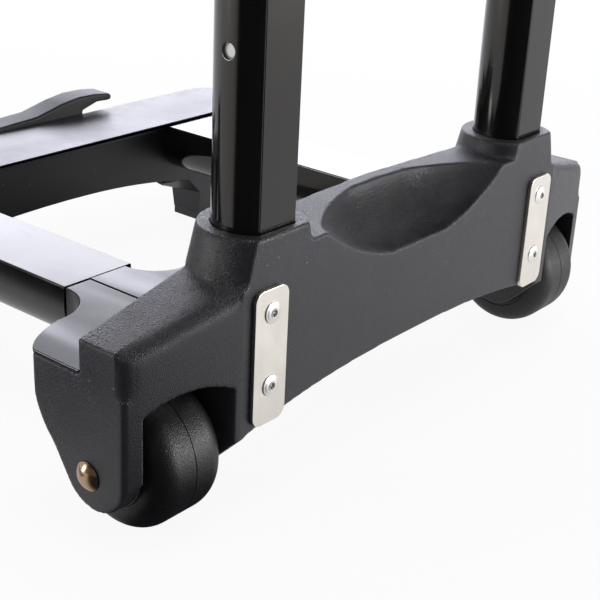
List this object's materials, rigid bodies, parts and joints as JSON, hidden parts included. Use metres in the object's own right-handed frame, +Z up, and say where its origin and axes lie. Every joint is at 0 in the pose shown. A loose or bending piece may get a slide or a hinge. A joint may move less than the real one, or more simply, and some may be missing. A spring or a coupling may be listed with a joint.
{
  "type": "accordion trolley",
  "caption": "Folding trolley for an accordion: a wheeled base with a fold-up platform, a cord hook and a telescopic handle with a release button.",
  "frame": {"origin": "on the floor, in the middle of the overall width and of the overall depth", "axes": "+X to the right seen from behind the trolley, +Y forward from the wheeled base to the platform's front, +Z up"},
  "size_m": [0.356, 0.3214, 0.6855],
  "materials": {
    "housing_plastic": "fine grain",
    "gloss_plastic": "polished",
    "black_tube": "black anodised",
    "plate_steel": "bright, finely brushed",
    "rivet_alloy": "bright",
    "fastener_steel": "zinc plated",
    "axle_steel": "bright drawn",
    "spring_steel": "drawn",
    "wheel_rubber": "matte",
    "hub_plastic": "matte",
    "white_nylon": "moulded nylon",
    "foot_rubber": "matte",
    "grip_plastic": "soft touch"
  },
  "bodies": {
    "base": {"rear_housing": "housing_plastic", "front_deck": "gloss_plastic", "left_lower_tube": "black_tube", "right_lower_tube": "black_tube", "left_fixing_plate": "plate_steel", "right_fixing_plate": "plate_steel", "plate_rivets": "rivet_alloy", "left_axle": "axle_steel", "right_axle": "axle_steel", "axle_clips": "fastener_steel", "deck_screws": "fastener_steel", "left_hinge_pin": "axle_steel", "right_hinge_pin": "axle_steel", "upper_brace": "gloss_plastic", "brace_screws": "fastener_steel", "guide_bushes": "white_nylon"},
    "left_wheel": {"left_tyre": "wheel_rubber", "left_hub": "hub_plastic", "left_bush": "white_nylon"},
    "right_wheel": {"right_tyre": "wheel_rubber", "right_hub": "hub_plastic", "right_bush": "white_nylon"},
    "platform": {"hinge_bar": "gloss_plastic", "left_arm": "black_tube", "right_arm": "black_tube", "crosspiece": "gloss_plastic", "crosspiece_cover": "gloss_plastic", "cord_hook": "gloss_plastic", "hook_screws": "fastener_steel", "arm_screws": "fastener_steel", "cover_screws": "fastener_steel", "left_foot": "foot_rubber", "right_foot": "foot_rubber"},
    "handle": {"left_upper_tube": "black_tube", "right_upper_tube": "black_tube", "left_glide": "white_nylon", "right_glide": "white_nylon", "grip_rear": "grip_plastic", "grip_front": "grip_plastic", "grip_screws": "fastener_steel", "tube_screws": "fastener_steel", "button_spring": "spring_steel", "left_lock_spring": "spring_steel", "right_lock_spring": "spring_steel"},
    "button": {"release_button": "gloss_plastic", "release_rods": "axle_steel"},
    "left_lock": {"left_lock_pin": "white_nylon"},
    "right_lock": {"right_lock_pin": "white_nylon"}
  },
  "joints": [
    {"name": "left_wheel_spin", "type": "hinge", "parent": "base", "child": "left_wheel", "pos_m": [-0.145, -0.12726, 0.03], "axis": [1, 0, 0], "continuous": true},
    {"name": "right_wheel_spin", "type": "hinge", "parent": "base", "child": "right_wheel", "pos_m": [0.145, -0.12726, 0.03], "axis": [1, 0, 0], "continuous": true},
    {"name": "platform_fold", "type": "hinge", "parent": "base", "child": "platform", "pos_m": [0, -0.07726, 0.069], "axis": [1, 0, 0], "range_deg": [0, 90]},
    {"name": "handle_slide", "type": "slide", "parent": "base", "child": "handle", "axis": [0, 0, 1], "range_m": [0, 0.365]},
    {"name": "button_press", "type": "slide", "parent": "handle", "child": "button", "axis": [0, 0, -1], "range_m": [0, 0.005], "stiffness_N_per_m": 800, "springref_m": -0.006, "deforming": ["button_spring"]},
    {"name": "left_lock_slide", "type": "slide", "parent": "handle", "child": "left_lock", "axis": [1, 0, 0], "range_m": [0, 0.003], "deforming": ["left_lock_spring"]},
    {"name": "right_lock_slide", "type": "slide", "parent": "handle", "child": "right_lock", "axis": [-1, 0, 0], "range_m": [0, 0.003], "deforming": ["right_lock_spring"]}
  ],
  "couplings": [
    {"joint": "left_lock_slide", "follows": "button_press", "ratio": 0.6},
    {"joint": "right_lock_slide", "follows": "button_press", "ratio": 0.6}
  ]
}
